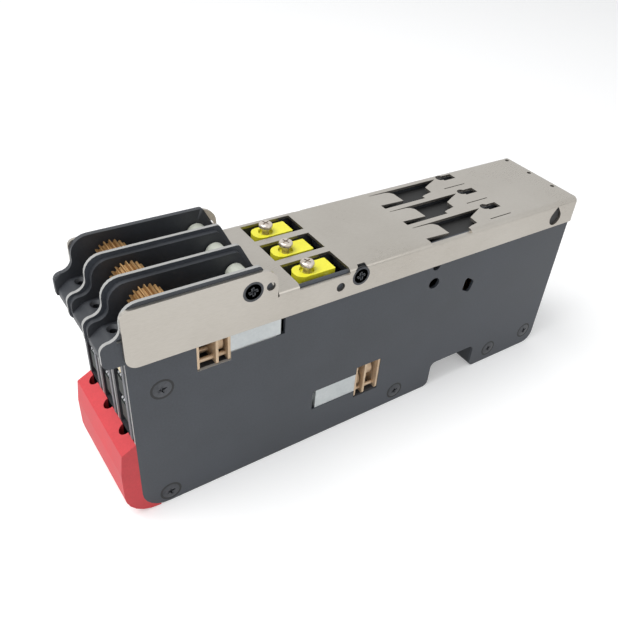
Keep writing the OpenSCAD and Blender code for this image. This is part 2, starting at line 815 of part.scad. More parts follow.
module worm(k, x, z, from, to, pitch_r) placed() {
    y = lane_y(k) + channel_mid;
    bar_x(from, y, z, shaft_r, to - from);
    bar_x(x - worm_len / 2, y, z, pitch_r - 1.25 * gear_mod, worm_len);
    worm_thread(x, y, z, pitch_r);
}

peel_worm_r = pinch_z - peel_motor_z - gear_mod * pinch_teeth / 2;
module peel_worm(k) color([0.7, 0.71, 0.73])
    worm(k, peel_x, peel_motor_z, peel_x - worm_len / 2 - 1.2, peel_motor_x + 3.5, peel_worm_r);
module feed_worm(k) color([0.7, 0.71, 0.73])
    worm(k, feed_wheel_x, feed_motor_z, feed_motor_x - 3.5, bearing_x + bearing_len + 0.6, feed_worm_r);

// A spur wheel with a hub, on its axle
module wheel(k, x, z, teeth, phase, w, hub_r, axle_r) {
    y = lane_y(k);
    difference() {
        union() {
            across(y + channel_mid - w / 2, w) translate([x, z]) polygon(gear_outline(teeth, phase));
            bar_y(x, z, hub_r, y + plate_t + side_clear, channel_w - 2 * side_clear);
        }
        bar_y(x, z, axle_r + run_clear, y, lane_pitch);
    }
}

module peel_wheel(k) color([0.75, 0.58, 0.35]) placed()
    wheel(k, peel_x, peel_z, peel_teeth, -90, peel_w, wheel_axle_r + 1, wheel_axle_r);

module pinch_wheel(k) color([0.75, 0.58, 0.35]) placed()
    wheel(k, peel_x, pinch_z, pinch_teeth, 90 + 180 / pinch_teeth, peel_w, wheel_axle_r + 1, wheel_axle_r);

// The feed wheel has a gap straight below, over the worm; the sprocket's gear is turned to mesh
feed_phase = -90 + 180 / feed_teeth;
mesh_dir = atan2(sprocket_z - feed_wheel_z, sprocket_x - feed_wheel_x);
mesh_tooth = (mesh_dir - feed_phase) * feed_teeth / 360;
sprocket_phase = mesh_dir + 180 + (0.5 + mesh_tooth - round(mesh_tooth)) * 360 / sprocket_teeth;

module feed_wheel(k) color([0.75, 0.58, 0.35]) placed() difference() {
    wheel(k, feed_wheel_x, feed_wheel_z, feed_teeth, feed_phase, feed_gear_w,
        feed_axle_r + 1.6, feed_axle_r);
    for (a = [0 : 60 : 300])
        bar_y(feed_wheel_x + 6.4 * cos(a), feed_wheel_z + 6.4 * sin(a), 2, lane_y(k), lane_pitch, 32);
}

// Sprocket: a rim with tapered pins, and its gear on one hub
module sprocket(k) color([0.72, 0.73, 0.75]) placed() {
    y = lane_y(k) + pin_line;
    pin_r = 0.7;
    difference() {
        union() {
            wheel(k, sprocket_x, sprocket_z, sprocket_teeth, sprocket_phase, feed_gear_w,
                feed_axle_r + 2, feed_axle_r);
            bar_y(sprocket_x, sprocket_z, sprocket_rim_r - 0.1, y - 0.8, 1.6, 96);
            for (i = [0 : sprocket_pins - 1])
                translate([sprocket_x, y, sprocket_z]) rotate([0, 360 * i / sprocket_pins, 0])
                    translate([0, 0, sprocket_rim_r - 0.8])
                        cylinder(r1 = pin_r, r2 = 0.35, h = 1.9, $fn = 20);
        }
        bar_y(sprocket_x, sprocket_z, feed_axle_r + run_clear, lane_y(k), lane_pitch);
        for (a = [0 : 72 : 288])
            bar_y(sprocket_x + 5.6 * cos(a), sprocket_z + 5.6 * sin(a), 1.5, lane_y(k), lane_pitch, 28);
    }
}

// ---- rollers, axles, rockers and screws ----

module guide_roller(k) color([0.88, 0.9, 0.86]) placed() {
    y = lane_y(k) + plate_t + side_clear;
    w = channel_w - 2 * side_clear;
    translate([roller_x, y, roller_z]) rotate([-90, 0, 0]) rotate_extrude($fn = 64) polygon(rounded([
        [screw_r + run_clear, 0, 0],
        [roller_r, 0, 0.3],
        [roller_r, w, 0.3],
        [screw_r + run_clear, w, 0]
    ]));
}

module roller_axle() color([0.25, 0.25, 0.27]) placed() difference() {
    screw_form(axle_screw, width);
    cross_recess(roller_x, 0, roller_z);
}

stack_w = width - 2 * sheet_t;
module wheel_axles() color("silver") placed()
    for (z = [peel_z, pinch_z]) bar_y(peel_x, z, wheel_axle_r, sheet_t, stack_w);

module drive_axles() color("silver") placed() {
    bar_y(sprocket_x, sprocket_z, feed_axle_r, inner_y, inner_len);
    bar_y(feed_wheel_x, feed_wheel_z, feed_axle_r, inner_y, inner_len);
}

module tie_screws() color([0.2, 0.2, 0.22]) placed() difference() {
    for (p = tie_points) screw_form(p, width - p[2] - (p[2] > 0 ? sheet_t : 0));
    for (p = tie_points) cross_recess(p[0], p[2], p[1]);
}

module base_roller_shaft() color("silver") placed()
    bar_y(base_roller_x, base_roller_z, base_shaft_r, inner_y + 0.1, inner_len - 0.2);

module base_rollers() color([0.15, 0.15, 0.16]) placed() for (k = lanes) difference() {
    y = lane_y(k) + plate_t + side_clear;
    bar_y(base_roller_x, base_roller_z, base_roller_r, y, channel_w - 2 * side_clear, 64);
    bar_y(base_roller_x, base_roller_z, base_shaft_r + seat_clear, lane_y(k), lane_pitch);
}

module rocker_pins() color("silver") placed() for (k = lanes)
    bar_y(rocker_pin_x, rocker_pin_z, rocker_pin_r, lane_y(k) + plate_t, channel_w, 36);

// Coils of the return springs, on each side of the rocker's barrel
function coil_y(i) = rocker_w / 2 + 0.45 + 0.3 * i;
module rocker_springs() color("gainsboro") placed() for (k = lanes, side = [-1, 1])
    for (i = [0 : 2])
        translate([rocker_pin_x, lane_y(k) + channel_mid + side * coil_y(i), rocker_pin_z])
            rotate([90, 0, 0]) rotate_extrude($fn = 40)
                translate([rocker_pin_r + 0.2, 0]) circle(r = 0.18, $fn = 16);

module rocker(k) color([0.93, 0.9, 0.2]) placed() {
    y = lane_y(k) + channel_mid;
    base_z = rocker_top - rocker_h;
    difference() {
        union() {
            translate([0, y, base_z]) linear_extrude(rocker_h) polygon(rounded([
                [rocker_x, -rocker_w / 2, rocker_w / 2 - 0.3],
                [rocker_x + rocker_len, -rocker_w / 2, 0.3],
                [rocker_x + rocker_len, rocker_w / 2, 0.3],
                [rocker_x, rocker_w / 2, rocker_w / 2 - 0.3]
            ]));
            bar_y(rocker_pin_x, rocker_pin_z, rocker_barrel_r, y - rocker_w / 2, rocker_w);
        }
        bar_y(rocker_pin_x, rocker_pin_z, rocker_pin_r + run_clear, y - rocker_w, 2 * rocker_w, 36);
        translate([rocker_screw_x, y, base_z - over])
            cylinder(r = 1 + seat_clear, h = rocker_h + 2 * over, $fn = 36);
        // step around the screw, open to the rear
        translate([rocker_screw_x, y, rocker_top - 0.8]) cylinder(r = 2, h = over + 0.8, $fn = 40);
    }
}

module rocker_screw(k) color([0.85, 0.8, 0.75]) placed() {
    head_z = body_h + 0.9;
    translate([rocker_screw_x, lane_y(k) + channel_mid, 0]) difference() {
        union() {
            translate([0, 0, rocker_top - rocker_h])
                cylinder(r = 1, h = head_z - rocker_top + rocker_h, $fn = 36);
            translate([0, 0, head_z]) rotate_extrude($fn = 48) polygon(rounded([
                [0, 0, 0], [1.9, 0, 0.2], [1.9, 1.3, 0.7], [0, 1.3, 0]
            ]));
        }
        for (a = [0, 90])
            translate([0, 0, head_z + 1.2]) rotate([0, 0, a + 20]) cube([2.2, 0.4, 1], center = true);
    }
}

top_cover();
partition_plate(0);  // partition_plate_1
partition_plate(1);  // partition_plate_2
partition_plate(2);  // partition_plate_3
lane_liner(0);  // lane_liner_1
lane_liner(1);  // lane_liner_2
lane_liner(2);  // lane_liner_3
lane_frame(0);  // lane_frame_1
lane_frame(1);  // lane_frame_2
lane_frame(2);  // lane_frame_3
tape_guide(0);  // tape_guide_1
tape_guide(1);  // tape_guide_2
tape_guide(2);  // tape_guide_3
rear_bumper();
peel_motor(0);  // peel_motor_1
peel_motor(1);  // peel_motor_2
peel_motor(2);  // peel_motor_3
feed_motor(0);  // feed_motor_1
feed_motor(1);  // feed_motor_2
feed_motor(2);  // feed_motor_3
peel_gearboxes();
feed_gearboxes();
control_boards();
status_lamps();
light_guides();
tie_screws();
roller_axle();
wheel_axles();
drive_axles();
rocker_pins();
rocker_springs();
base_roller_shaft();
base_rollers();
peel_worm(0);  // peel_worm_1
peel_worm(1);  // peel_worm_2
peel_worm(2);  // peel_worm_3
pinch_wheel(0);  // pinch_wheel_1
pinch_wheel(1);  // pinch_wheel_2
pinch_wheel(2);  // pinch_wheel_3
peel_wheel(0);  // peel_wheel_1
peel_wheel(1);  // peel_wheel_2
peel_wheel(2);  // peel_wheel_3
guide_roller(0);  // guide_roller_1
guide_roller(1);  // guide_roller_2
guide_roller(2);  // guide_roller_3
rocker(0);  // rocker_1
rocker(1);  // rocker_2
rocker(2);  // rocker_3
rocker_screw(0);  // rocker_screw_1
rocker_screw(1);  // rocker_screw_2
rocker_screw(2);  // rocker_screw_3
feed_worm(0);  // feed_worm_1
feed_worm(1);  // feed_worm_2
feed_worm(2);  // feed_worm_3
feed_wheel(0);  // feed_wheel_1
feed_wheel(1);  // feed_wheel_2
feed_wheel(2);  // feed_wheel_3
sprocket(0);  // sprocket_1
sprocket(1);  // sprocket_2
sprocket(2);  // sprocket_3
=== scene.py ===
import json
import math

import bmesh
import bpy
from mathutils import Matrix, Vector


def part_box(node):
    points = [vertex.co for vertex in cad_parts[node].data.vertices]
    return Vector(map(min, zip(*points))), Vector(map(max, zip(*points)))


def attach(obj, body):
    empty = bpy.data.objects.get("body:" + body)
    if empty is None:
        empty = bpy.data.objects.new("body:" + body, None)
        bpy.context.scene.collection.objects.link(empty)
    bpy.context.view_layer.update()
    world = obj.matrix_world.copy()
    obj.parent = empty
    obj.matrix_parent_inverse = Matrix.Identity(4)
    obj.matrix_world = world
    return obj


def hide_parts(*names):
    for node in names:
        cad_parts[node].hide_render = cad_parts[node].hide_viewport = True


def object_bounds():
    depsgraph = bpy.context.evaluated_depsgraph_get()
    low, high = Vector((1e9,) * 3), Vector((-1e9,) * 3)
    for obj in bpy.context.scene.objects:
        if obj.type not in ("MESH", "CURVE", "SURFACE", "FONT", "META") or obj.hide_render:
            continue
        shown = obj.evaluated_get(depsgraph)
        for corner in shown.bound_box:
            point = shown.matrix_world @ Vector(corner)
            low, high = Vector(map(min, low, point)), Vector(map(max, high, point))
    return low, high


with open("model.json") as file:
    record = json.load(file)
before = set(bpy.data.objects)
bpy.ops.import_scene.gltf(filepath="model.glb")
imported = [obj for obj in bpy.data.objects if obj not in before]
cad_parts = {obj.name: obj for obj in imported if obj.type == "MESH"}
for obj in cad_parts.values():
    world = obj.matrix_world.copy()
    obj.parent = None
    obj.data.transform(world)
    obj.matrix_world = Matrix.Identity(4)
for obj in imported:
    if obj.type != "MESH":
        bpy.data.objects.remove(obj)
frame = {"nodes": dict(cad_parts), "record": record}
cad_box = [list(v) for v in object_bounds()]
nodes = frame["nodes"]
record = frame["record"]
slot_of = {s["node"]: s["material_slot"] for s in record["subparts"]}
MM = 0.001

# ---- places of the body ----

# In millimetres: x from the plates' rear edge, y from the cover's near face and z from the base
cover_lo, cover_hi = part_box("top_cover")
LANE = 10.4
SHEET = 0.8
PLATE = 0.9
BEND = 1.5
FLANGE_DROP = 8.5
EAR_RISE = 7.3
COVER_X = 38.8
H = cover_lo[2] / MM + FLANGE_DROP
WIDTH = (cover_hi[1] - cover_lo[1]) / MM
LENGTH = (cover_hi[0] - cover_lo[0]) / MM
DECK = H - SHEET
FLANGE_Z = H - FLANGE_DROP
lanes = [SHEET + LANE * k for k in range(3)]
origin = Vector((cover_lo[0], cover_lo[1], 0))


def at(x, y, z):
    return origin + MM * Vector((x, y, z))


# ---- finishes ----

FINE_SHARE = 0.35
SLOW_SHARE = 0.65
COLOUR_RANGE = (0.36, 0.64)
ROUGHNESS_RANGE = (0.3, 0.7)
BUMP_DEPTH = 0.0001
# how squarely a face looks along the axis where it starts to be bare, and where it is bare
BARE_RANGE = (0.75, 0.45)


def srgb(r, g, b):
    """Linear colour of an 8-bit sRGB one."""
    channels = (c / 255 for c in (r, g, b))
    return tuple(c / 12.92 if c <= 0.04045 else ((c + 0.055) / 1.055) ** 2.4 for c in channels) + (1.0,)


def plug(tree, made, inputs):
    """Sets a node's inputs, or links them where the value is another node's socket."""
    for key, value in inputs.items():
        if isinstance(value, bpy.types.NodeSocket):
            tree.links.new(value, made.inputs[key])
        else:
            made.inputs[key].default_value = value


def node(tree, kind, inputs=None, **settings):
    made = tree.nodes.new("ShaderNode" + kind)
    for key, value in settings.items():
        setattr(made, key, value)
    plug(tree, made, inputs or {})
    return made


def maths(tree, operation, *values):
    return node(tree, "Math", dict(enumerate(values)), operation=operation).outputs[0]


def map_range(tree, value, span, **target):
    inputs = {"Value": value, "From Min": span[0], "From Max": span[1], **target}
    return node(tree, "MapRange", inputs).outputs[0]


def bare_edges(tree, coord, colour, bare_colour, axis, x):
    """Bares the faces that don't face along the axis, as on a coated and cut sheet, behind x alone: in
    front of x the cut edges keep the coating's colour as painted shade under the cover."""
    normal = node(tree, "SeparateXYZ", {0: node(tree, "NewGeometry").outputs["Normal"]})
    bare = map_range(tree, maths(tree, "ABSOLUTE", normal.outputs[axis]), BARE_RANGE)
    # edges in front of x stay the coating's colour: painted shade under the cover
    behind = maths(tree, "LESS_THAN", node(tree, "SeparateXYZ", {0: coord}).outputs["X"], x)
    shown = maths(tree, "MULTIPLY", bare, behind)
    return node(tree, "Mix", {0: shown, 6: colour, 7: srgb(*bare_colour)}, data_type="RGBA").outputs[2]


def surface(name, light, dark, rough, grain, bump, blotch, metallic=0.0, stretch=(1, 1, 1), coat=0.0,
            edge=None):
    """Procedural finish: fine grain for bump and roughness, and slow blotches between two 8-bit
    colours. edge = (colour, axis, x) is what bare_edges takes."""
    m = bpy.data.materials.new(name)
    m.use_nodes = True
    tree = m.node_tree
    coord = node(tree, "TexCoord").outputs["Object"]
    grained = node(tree, "Mapping", {"Vector": coord, "Scale": stretch}).outputs["Vector"]
    fine = node(tree, "TexNoise", {"Vector": grained, "Scale": grain, "Detail": 3}).outputs["Fac"]
    blotches = {"Vector": coord, "Scale": blotch, "Detail": 5, "Roughness": 0.6}
    slow = node(tree, "TexNoise", blotches).outputs["Fac"]
    both = maths(tree, "MULTIPLY_ADD", fine, FINE_SHARE, maths(tree, "MULTIPLY", slow, SLOW_SHARE))
    ramp = node(tree, "ValToRGB", {"Fac": both})
    for stop, position, shade in zip(ramp.color_ramp.elements, COLOUR_RANGE, (dark, light)):
        stop.position = position
        stop.color = srgb(*shade)
    colour = ramp.outputs["Color"]
    if edge:
        colour = bare_edges(tree, coord, colour, *edge)
    relief = node(tree, "Bump", {"Strength": bump, "Distance": BUMP_DEPTH, "Height": fine})
    plug(tree, tree.nodes["Principled BSDF"], {
        "Base Color": colour,
        "Metallic": metallic,
        "Roughness": map_range(tree, both, ROUGHNESS_RANGE, **{"To Min": rough[0], "To Max": rough[1]}),
        "Normal": relief.outputs["Normal"],
        "Coat Weight": coat,
        "Coat Roughness": 0.2,
    })
    return m


# Finish of each material slot
LOOKS = {
    "stainless_sheet": dict(light=(188, 183, 175), dark=(172, 166, 157), rough=(0.24, 0.38), metallic=0.95,
                            grain=700, stretch=(1, 14, 14), bump=0.08, blotch=18),
    "dark_plate": dict(light=(64, 68, 75), dark=(51, 55, 61), rough=(0.42, 0.55),
                       # bare cut edges behind the cover's rear end; in front of it painted shade keeps them
                       # dark
                       grain=1800, bump=0.12, blotch=40, edge=((158, 158, 156), "Y", at(COVER_X, 0, 0).x)),
    "liner": dict(light=(50, 53, 58), dark=(38, 40, 44), rough=(0.42, 0.58),
                  grain=2400, bump=0.2, blotch=60),
    # near black: the tape guide's own dark finish, made darker still as painted shade in the windows'
    # interior
    "guide_steel": dict(light=(34, 34, 34), dark=(24, 24, 24), rough=(0.55, 0.7),
                        grain=1400, stretch=(1, 8, 1), bump=0.08, blotch=60),
    "red_bumper": dict(light=(206, 62, 68), dark=(190, 52, 58), rough=(0.5, 0.64),
                       grain=1500, bump=0.22, blotch=70),
    "motor_can": dict(light=(206, 210, 210), dark=(190, 195, 196), rough=(0.34, 0.48), metallic=0.3,
                      grain=1200, bump=0.06, blotch=90),
    "brass_parts": dict(light=(186, 150, 104), dark=(150, 114, 70), rough=(0.32, 0.46), metallic=0.8,
                        grain=1500, stretch=(1, 8, 1), bump=0.1, blotch=160),
    "board": dict(light=(42, 50, 46), dark=(28, 34, 32), rough=(0.62, 0.78),
                  grain=1600, bump=0.1, blotch=200),
    "lamp": dict(light=(214, 190, 110), dark=(196, 168, 84), rough=(0.18, 0.28), coat=0.4,
                 grain=900, bump=0.04, blotch=200),
    "light_guide": dict(light=(112, 114, 118), dark=(88, 90, 95), rough=(0.5, 0.62),
                        grain=900, bump=0.06, blotch=160),
    "black_screw": dict(light=(78, 80, 84), dark=(56, 58, 62), rough=(0.3, 0.46), metallic=0.5,
                        grain=1500, bump=0.1, blotch=220),
    "bright_steel": dict(light=(200, 200, 202), dark=(172, 173, 176), rough=(0.24, 0.38), metallic=0.9,
                         grain=1300, stretch=(1, 6, 1), bump=0.06, blotch=160),
    "black_roller": dict(light=(46, 45, 44), dark=(32, 31, 31), rough=(0.3, 0.45),
                         grain=1500, bump=0.1, blotch=140),
    "pale_roller": dict(light=(190, 193, 182), dark=(172, 175, 164), rough=(0.3, 0.42),
                        grain=1400, bump=0.08, blotch=120),
    "yellow_rocker": dict(light=(236, 230, 58), dark=(224, 217, 42), rough=(0.3, 0.42), coat=0.1,
                          grain=1500, bump=0.1, blotch=130),
    "bright_screw": dict(light=(216, 206, 196), dark=(190, 180, 170), rough=(0.24, 0.36), metallic=0.85,
                         grain=1500, bump=0.06, blotch=260),
}
finish = {slot: surface(slot, **look) for slot, look in LOOKS.items()}
gearbox_finish = surface("gearbox_plates", (222, 198, 170), (192, 166, 134), (0.4, 0.55), metallic=0.4,
                         grain=1500, stretch=(8, 1, 1), bump=0.1, blotch=160)
# near black: painted shade, for the gap round the screw heads and behind the cover's holes
painted_shade_finish = surface("painted_shade_countersink", (26, 27, 29), (18, 19, 20), (0.5, 0.65),
                      grain=1500, bump=0.1, blotch=200)
for name, o in nodes.items():
    for s in o.material_slots:
        s.material = gearbox_finish if "gearboxes" in name else finish[slot_of[name]]

# ---- mesh helpers ----

CREASE = 28


def rounded(points, steps=6):
    """Outline from corners (a, b, radius)."""
    out = []
    n = len(points)
    for i, (x, y, r) in enumerate(points):
        p = Vector((x, y))
        if r <= 0:
            out.append(p)
            continue
        u = (Vector(points[i - 1][:2]) - p).normalized()
        w = (Vector(points[(i + 1) % n][:2]) - p).normalized()
        half = u.angle(w) / 2
        c = p + (u + w).normalized() * r / math.sin(half)
        a0, a1 = (math.atan2(*reversed(p + v * r / math.tan(half) - c)) for v in (u, w))
        sweep = (a1 - a0 + math.pi) % (2 * math.pi) - math.pi
        out += [c + r * Vector((math.cos(a0 + sweep * k / steps), math.sin(a0 + sweep * k / steps)))
                for k in range(steps + 1)]
    return out


def ring(x, y, r, n=32):
    angles = [2 * math.pi * k / n for k in range(n)]
    return [Vector((x + r * math.cos(t), y + r * math.sin(t))) for t in angles]


def rectangle(a0, a1, b0, b1):
    return [Vector((a0, b0)), Vector((a1, b0)), Vector((a1, b1)), Vector((a0, b1))]


def teardrop(x, z, r, tip):
    """Round below, drawn out to a narrow point above."""
    angles = [math.radians(40 - 260 * k / 20) for k in range(21)]
    arc = [Vector((x + r * math.cos(t), z + r * math.sin(t))) for t in angles]
    return arc + [Vector((x + a, z + tip + b)) for a, b in ((-0.5, -0.4), (-0.1, 0), (0.4, -0.3))]


ALONG = {"X": lambda a, b, d: (d, a, b), "Y": lambda a, b, d: (a, d, b), "Z": lambda a, b, d: (a, b, d)}


def prism(bm, outline, axis, start, end, end_outline=None):
    """A closed prism, or a frustum when the far outline differs."""
    put = ALONG[axis]
    near = [bm.verts.new(at(*put(a, b, start))) for a, b in outline]
    far = [bm.verts.new(at(*put(a, b, end))) for a, b in (end_outline or outline)]
    n = len(near)
    faces = [bm.faces.new(near), bm.faces.new(far)]
    faces += [bm.faces.new((near[i], near[(i + 1) % n], far[(i + 1) % n], far[i])) for i in range(n)]
    bmesh.ops.recalc_face_normals(bm, faces=faces)


def to_object(bm, name="shape"):
    mesh = bpy.data.meshes.new(name)
    bm.to_mesh(mesh)
    bm.free()
    o = bpy.data.objects.new(name, mesh)
    bpy.context.collection.objects.link(o)
    return o


def solid(outline, axis, start, end, end_outline=None):
    bm = bmesh.new()
    prism(bm, outline, axis, start, end, end_outline)
    return to_object(bm)


def turned(x, y, z, profile, n=48):
    """A piece turned about Y from (radius, depth) pairs."""
    bm = bmesh.new()
    angles = [2 * math.pi * k / n for k in range(n)]
    rows = []
    for r, d in profile:
        round_row = [at(x + r * math.cos(t), y + d, z + r * math.sin(t)) for t in angles]
        rows.append([bm.verts.new(p) for p in (round_row if r > 0 else [at(x, y + d, z)])])
    for a, b in zip(rows, rows[1:]):
        for k in range(n):
            j = (k + 1) % n
            if len(a) == 1:
                bm.faces.new((a[0], b[j], b[k]))
            elif len(b) == 1:
                bm.faces.new((a[k], a[j], b[0]))
            else:
                bm.faces.new((a[k], a[j], b[j], b[k]))
    bmesh.ops.recalc_face_normals(bm, faces=bm.faces[:])
    return to_object(bm)


def cut(*shape):
    return "DIFFERENCE", solid(*shape)


def combine(base, tools):
    """Runs union and difference of (operation, object) on the base, and removes the tools."""
    for operation, tool in tools:
        mod = base.modifiers.new("cut", "BOOLEAN")
        mod.operation = operation
        mod.solver = "EXACT"
        mod.object = tool
    done = bpy.data.meshes.new_from_object(base.evaluated_get(bpy.context.evaluated_depsgraph_get()))
    base.modifiers.clear()
    base.data = done
    for _, tool in tools:
        bpy.data.objects.remove(tool)
    return base


def finish_piece(o, name, slot, material=None):
    o.name = name
    o.data.name = name
    for poly in o.data.polygons:
        poly.use_smooth = True
    o.data.set_sharp_from_angle(angle=math.radians(CREASE))
    o.data.materials.clear()
    o.data.materials.append(material or finish[slot])
    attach(o, "chassis")


# ---- cover: bent sheet with its ears, windows and holes ----

section = rounded([
    (0, FLANGE_Z, 0), (0, H, BEND), (WIDTH, H, BEND), (WIDTH, FLANGE_Z, 0), (WIDTH - SHEET, FLANGE_Z, 0),
    (WIDTH - SHEET, DECK, BEND - SHEET), (SHEET, DECK, BEND - SHEET), (SHEET, FLANGE_Z, 0)], 8)
ear_front = COVER_X - 0.4
ear = rounded([
    (0, FLANGE_Z, 3), (COVER_X + 1, FLANGE_Z, 0), (COVER_X + 1, H - BEND, 0), (ear_front, H - BEND, 0),
    (ear_front, H + EAR_RISE, 4.5), (0, H + EAR_RISE, 1.8)])

# Pick window of one lane, from the slit beside the tongue round to its notched front edge
WINDOW_X = 87.9
WINDOW_FRONT = 103.4
WINDOW = [
    (88.0, 8.25), (94.0, 7.95), (95.1, 7.45), (96.0, 6.3), (96.1, 1.6), (WINDOW_X, 2.1), (WINDOW_X, -0.06),
    (WINDOW_FRONT, -0.06), (WINDOW_FRONT, 1.2), (105.0, 1.7), (107.8, 2.17), (108.1, 5.4), (111.2, 6.9),
    (112.2, 7.3), (114.7, 8.5), (88.0, 8.42)]
# x, y in the lane and radius of round holes, and x and y ranges of slots
LOBE = (117.0, 8.5, 1.5)
PIN_SLOT = (117.2, 121.9, 6.4, 9.25)
THIN_SLIT = (113.2, 121.8, 1.85, 2.2)
FRONT_HOLE = (LENGTH - 1.6, 8.8, 0.7)
ROCKER_WINDOW = (44.7, 60.0, 0.95, 9.05)
# the first rocker window opens the bend beside it
FIRST_ROCKER_Y = -1.8
# a cut through the deck goes this deep, so that no film of the sheet stays
DECK_CUT = (DECK - 0.03, H + 2)


def in_lane(y, x0, x1, y0, y1):
    return rectangle(x0, x1, y0 + y, y1 + y)


cover = solid(section, "X", COVER_X, LENGTH)
cover_tools = [("UNION", solid(ear, "Y", start, start + SHEET)) for start in (0, WIDTH - SHEET)]
for y in lanes:
    rocker_y = FIRST_ROCKER_Y if y == lanes[0] else ROCKER_WINDOW[2]
    cover_tools += [
        cut([Vector((a, b + y)) for a, b in WINDOW], "Z", *DECK_CUT),
        cut(ring(LOBE[0], LOBE[1] + y, LOBE[2]), "Z", *DECK_CUT),
        cut(in_lane(y, *PIN_SLOT), "Z", *DECK_CUT),
        cut(in_lane(y, *THIN_SLIT), "Z", *DECK_CUT),
        cut(ring(FRONT_HOLE[0], y + FRONT_HOLE[1], FRONT_HOLE[2], 20), "Z", *DECK_CUT),
        cut(in_lane(y, *ROCKER_WINDOW[:2], rocker_y, ROCKER_WINDOW[3]), "Z", H - BEND, H + 2),
    ]
# the near window also opens the bend, down to the flange's upper edge
cover_tools.append(cut(rectangle(WINDOW_X, WINDOW_FRONT, -1, 1.5), "Z", *DECK_CUT))

AXLE = (31.6, H + 2.4)
COVER_SCREW = (63.7, H - 3.2)
SINK_R = 3.05
SHANK_R = 1.55
SINK_DEPTH = 1.3
for x, z in (AXLE, COVER_SCREW):
    wide, shank = ring(x, z, SINK_R, 40), ring(x, z, SHANK_R, 40)
    cover_tools.append(cut(wide, "Y", -0.3, SINK_DEPTH, shank))
    cover_tools.append(cut(shank, "Y", WIDTH - SINK_DEPTH, WIDTH + 0.4))

HOOK = (LENGTH - 8.9, H - 5.2)
ear_hole = ring(36.4, H + 2.4, 1.2, 28)
flange_hole = ring(57.3, H - 4.7, 1.3, 28)
slot_above = [Vector((COVER_SCREW[0] + a, COVER_SCREW[1] + b))
              for a, b in ((-2.0, 1.2), (2.2, 1.2), (1.3, 3.3), (-0.9, 3.3))]
for outline in (ear_hole, flange_hole, teardrop(*HOOK, 2.5, 3.9), slot_above):
    for start in (-1, WIDTH - SHEET - 0.4):
        cover_tools.append(cut(outline, "Y", start, start + SHEET + 1.4))
finish_piece(combine(cover, cover_tools), "bent_cover", "stainless_sheet")
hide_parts("top_cover")

# ---- last liner's ear: it has no step, so its wall reaches the plates' full outline ----

EAR_FOOT = H - 6
SKIN = 0.02


def sides(name):
    """Near and far side of a node, as y in the CAD frame and in millimetres."""
    return [corner[1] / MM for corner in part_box(name)]


plate_near, plate_far = sides("partition_plate_3")
wall_near, wall_far = sides("lane_liner_3")
bm = bmesh.new()
bm.from_mesh(nodes["partition_plate_3"].data)
for v in bm.verts:
    t = (v.co.y / MM - plate_near) / (plate_far - plate_near)
    v.co.y = MM * (wall_near - SKIN + t * (wall_far - wall_near - SKIN))
bmesh.ops.remove_doubles(bm, verts=bm.verts, dist=1e-6)
for plane, normal in ((at(0, 0, EAR_FOOT), (0, 0, -1)), (at(COVER_X - 1, 0, 0), (1, 0, 0))):
    everything = bm.verts[:] + bm.edges[:] + bm.faces[:]
    parted = bmesh.ops.bisect_plane(bm, geom=everything, plane_co=plane, plane_no=normal, clear_outer=True)
    rim_edges = [e for e in parted["geom_cut"] if isinstance(e, bmesh.types.BMEdge)]
    bmesh.ops.holes_fill(bm, edges=rim_edges)
finish_piece(to_object(bm), "last_liner_ear", "liner")

# ---- screw heads: a ring of painted shade round each, a chamfered rim and a cross recess ----

PANEL = SHEET
# x, z and y of the face that each screw sits in
HEADS = [(7.6, 3.6, PANEL), (7.9, 40.9, PANEL), (84.3, 4.5, PANEL), (126.8, 4.9, PANEL),
         (LENGTH - 5.4, 6.2, PANEL), (*COVER_SCREW, 0), (*AXLE, 0)]
FLUSH = 0.1
PAINTED_SHADE_RING_PROFILE = [(2.4, 0.3), (2.4, -0.02), (3.0, -0.02), (3.0, 0.3), (2.4, 0.3)]
HEAD_PROFILE = [(0, -0.1), (2.15, -0.1), (2.5, 0.02), (2.5, 0.4), (0, 0.4)]
ARM = ((-1.2, -0.24), (-0.5, -0.4), (0.5, -0.4), (1.2, -0.24),
       (1.2, 0.24), (0.5, 0.4), (-0.5, 0.4), (-1.2, 0.24))
ARM_TURNS = (20, 110)
RECESS_DEPTH = 0.38

for i, (x, z, face) in enumerate(HEADS):
    # heads stand a little proud of the plate, and flush in the cover
    y = face if face > 0 else FLUSH
    # a dark ring, a little proud of the face round each head: painted shade in the gap round the head
    finish_piece(turned(x, y, z, PAINTED_SHADE_RING_PROFILE), f"painted_shade_ring_{i + 1}", "black_screw", painted_shade_finish)
    head = turned(x, y, z, HEAD_PROFILE)
    arms = []
    for turn in ARM_TURNS:
        c, s = math.cos(math.radians(turn)), math.sin(math.radians(turn))
        outline = [Vector((x + a * c - b * s, z + a * s + b * c)) for a, b in ARM]
        arms.append(cut(outline, "Y", y - 1, y + RECESS_DEPTH))
    finish_piece(combine(head, arms), f"screw_face_{i + 1}", "black_screw")

# painted shade: a thin dark sheet behind the hook hole and the slot over the cover's screw, where the
# plate's own holes show dark
for name, outline in (("hook_hole_shade", teardrop(*HOOK, 2.45, 3.8)), ("slot_shade", slot_above)):
    finish_piece(solid(outline, "Y", SHEET - 0.1, SHEET - 0.02), name, "black_screw", painted_shade_finish)

# ---- rear end: leads and solder on the control boards ----

BOARD_BACK = 1.4
BOARD_INSET = 1.8
# lower and upper edge of each chip
CHIPS = [(29.8, 35.0), (38.0, 43.2)]
LEAD_FIRST, LEAD_PITCH, LEAD_HALF = 1.35, 1.15, 0.36
SOLDER_FIRST, SOLDER_PITCH, SOLDER_RISE = 1.7, 1.3, 2.2


